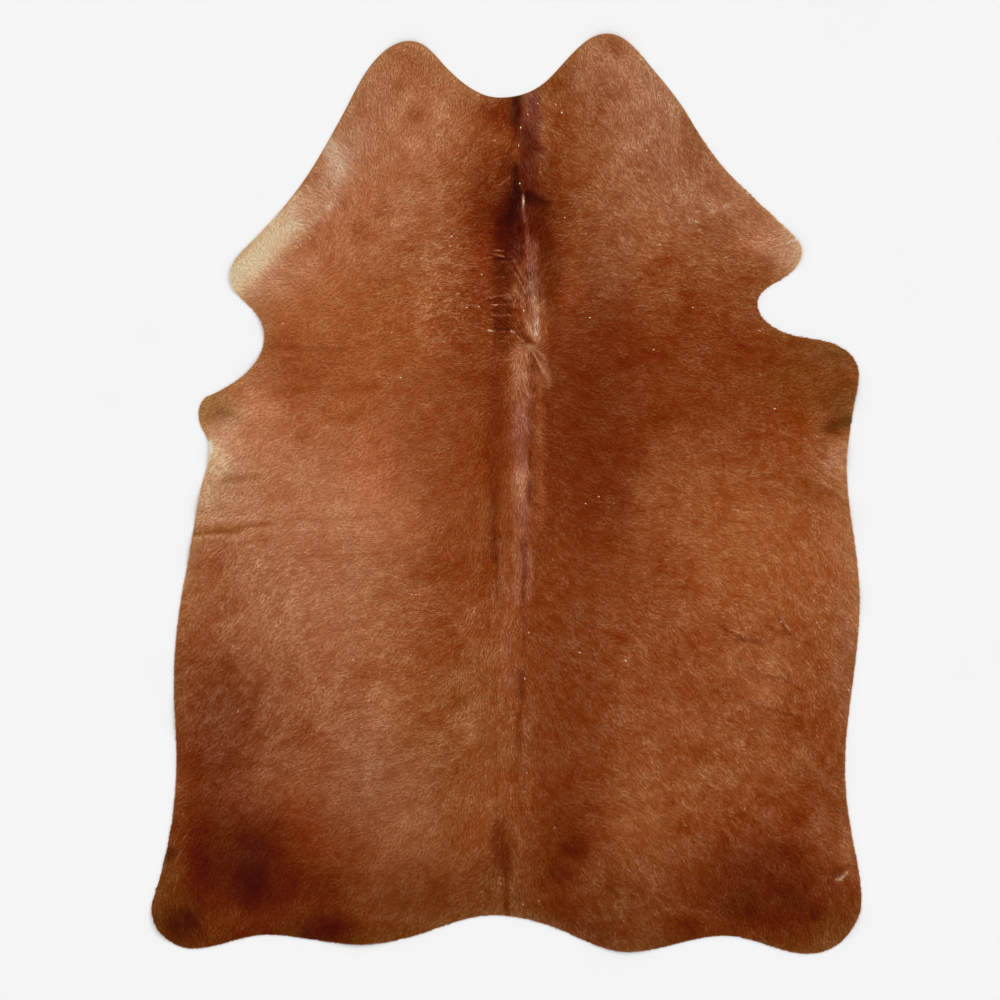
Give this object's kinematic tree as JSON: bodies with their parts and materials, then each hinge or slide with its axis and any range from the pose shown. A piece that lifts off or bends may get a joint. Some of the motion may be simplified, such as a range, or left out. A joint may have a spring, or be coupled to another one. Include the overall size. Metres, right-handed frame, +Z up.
{
  "type": "cowhide rug",
  "caption": "One whole hair-on hide with neck flaps, shoulder and leg lobes and a wavy hind edge, lying flat as a floor rug.",
  "frame": {"origin": "on the floor under the middle of the hide's box", "axes": "+Y towards the neck, the long way of the hide; +Z up, out of the hair side; +X to the right as seen from above"},
  "size_m": [1.643, 2.13, 0.0122],
  "materials": {
    "hide_coat": "short reddish brown hair lying flat on tanned skin, with a soft satin sheen"
  },
  "bodies": {
    "root": {"hide": "hide_coat"}
  },
  "joints": []
}
